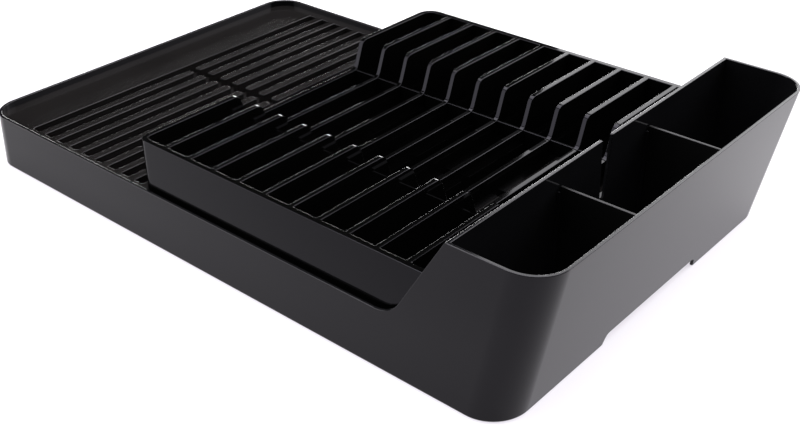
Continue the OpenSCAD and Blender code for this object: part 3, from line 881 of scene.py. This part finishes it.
CAMERA_PLACE = (0.5497, -0.6072, 0.4726)
CAMERA_HEADING = 40.693     # degrees left of +Y
CAMERA_DIP = 31.288         # degrees below level
CAMERA_ROLL = -0.222
CAMERA_SHIFT = (0.0013, -0.0027)
OVERHEAD_DISTANCE = 2.2     # metres from the tray's middle to the overhead softbox
SIDE_DISTANCE = 2.6         # and to every other light


def softbox(name, bearing, height, distance, width, tall, radiance):
    """An area light that faces the rack from a bearing (degrees left of +Y) and a height (degrees
    above level), with its power worked out from the radiance: power = radiance x pi x area."""
    light = bpy.data.lights.new(name, "AREA")
    light.shape = "RECTANGLE"
    light.size, light.size_y = width, tall
    light.energy = radiance * math.pi * width * tall
    lamp = bpy.data.objects.new(name, light)
    b, h = math.radians(bearing), math.radians(height)
    towards = Vector((-math.sin(b) * math.cos(h), math.cos(b) * math.cos(h), math.sin(h)))
    lamp.location = towards * distance
    lamp.rotation_euler = (-towards).to_track_quat("-Z", "Y").to_euler()
    bpy.context.scene.collection.objects.link(lamp)
    return lamp


class DISHRACK_OT_studio(bpy.types.Operator):
    """Add the floor, the softboxes, the dark surround and the camera"""

    bl_idname = "dishrack.studio"
    bl_label = "Studio"

    def execute(self, context):
        studio = context.scene.dishrack.studio
        scene = context.scene
        half = studio.floor_w / 2
        mesh = bpy.data.meshes.new("studio_floor")
        corners = [(-half, -half, 0), (half, -half, 0), (half, half, 0), (-half, half, 0)]
        mesh.from_pydata(corners, [], [(0, 1, 2, 3)])
        mesh.materials.append(painted_floor(studio.floor))
        floor = bpy.data.objects.new("studio_floor", mesh)
        scene.collection.objects.link(floor)
        softbox("overhead_softbox", 0, 90, OVERHEAD_DISTANCE, 3.0, 3.0, 9.0).data.shape = "DISK"
        softbox("back_softbox", 3, 34, SIDE_DISTANCE, 2.3, 1.2, 5.0)
        softbox("back_right_softbox", -36, 28, SIDE_DISTANCE, 2.2, 1.8, 9.0)
        softbox("front_left_softbox", 138, 27, SIDE_DISTANCE, 1.8, 2.2, 6.0)
        softbox("left_strip_light", 49, 5, SIDE_DISTANCE, 1.7, 0.42, 19.0)
        world = bpy.data.worlds.new("dark_surround")
        world.use_nodes = True
        world.node_tree.nodes["Background"].inputs["Color"].default_value = (0.02, 0.02, 0.022, 1)
        scene.world = world
        scene.view_settings.view_transform = "Standard"
        camera = bpy.data.objects.new("camera", bpy.data.cameras.new("camera"))
        camera.data.lens = studio.lens
        camera.data.shift_x, camera.data.shift_y = CAMERA_SHIFT
        camera.data.clip_start = 0.01
        camera.location = CAMERA_PLACE
        b, h = math.radians(CAMERA_HEADING), math.radians(CAMERA_DIP)
        aim = Vector((-math.sin(b) * math.cos(h), math.cos(b) * math.cos(h), -math.sin(h)))
        camera.rotation_euler = aim.to_track_quat("-Z", "Y").to_euler()
        camera.rotation_euler.rotate_axis("Z", math.radians(CAMERA_ROLL))
        scene.collection.objects.link(camera)
        scene.camera = camera
        return {"FINISHED"}


# ---- Panel and registration ----

class DISHRACK_PG_all(bpy.types.PropertyGroup):
    tray: PointerProperty(type=DISHRACK_PG_tray)
    deck: PointerProperty(type=DISHRACK_PG_deck)
    caddy: PointerProperty(type=DISHRACK_PG_caddy)
    rack: PointerProperty(type=DISHRACK_PG_rack)
    small: PointerProperty(type=DISHRACK_PG_small)
    studio: PointerProperty(type=DISHRACK_PG_studio)


GROUPS = (DISHRACK_PG_tray, DISHRACK_PG_deck, DISHRACK_PG_caddy, DISHRACK_PG_rack, DISHRACK_PG_small,
          DISHRACK_PG_studio, DISHRACK_PG_all)
STEPS = (DISHRACK_OT_studio, DISHRACK_OT_tray, DISHRACK_OT_deck, DISHRACK_OT_caddy, DISHRACK_OT_dividers,
         DISHRACK_OT_rack, DISHRACK_OT_spout, DISHRACK_OT_feet)


class DISHRACK_PT_panel(bpy.types.Panel):
    """Lists the sizes, the colours and the steps"""

    bl_label = "Dish Drying Rack"
    bl_space_type = "VIEW_3D"
    bl_region_type = "UI"
    bl_category = "Dish Rack"

    def draw(self, context):
        for step in STEPS:
            self.layout.operator(step.bl_idname)
        for group in ("tray", "deck", "caddy", "rack", "small", "studio"):
            box = self.layout.box()
            sizes = getattr(context.scene.dishrack, group)
            for field in sizes.__annotations__:
                box.prop(sizes, field)


def register():
    for item in GROUPS + STEPS + (DISHRACK_PT_panel,):
        bpy.utils.register_class(item)
    bpy.types.Scene.dishrack = PointerProperty(type=DISHRACK_PG_all)


def unregister():
    del bpy.types.Scene.dishrack
    for item in reversed(GROUPS + STEPS + (DISHRACK_PT_panel,)):
        bpy.utils.unregister_class(item)


def main():
    register()
    for step in STEPS:
        group, name = step.bl_idname.split(".")
        getattr(getattr(bpy.ops, group), name)()


if __name__ == "__main__":
    main()
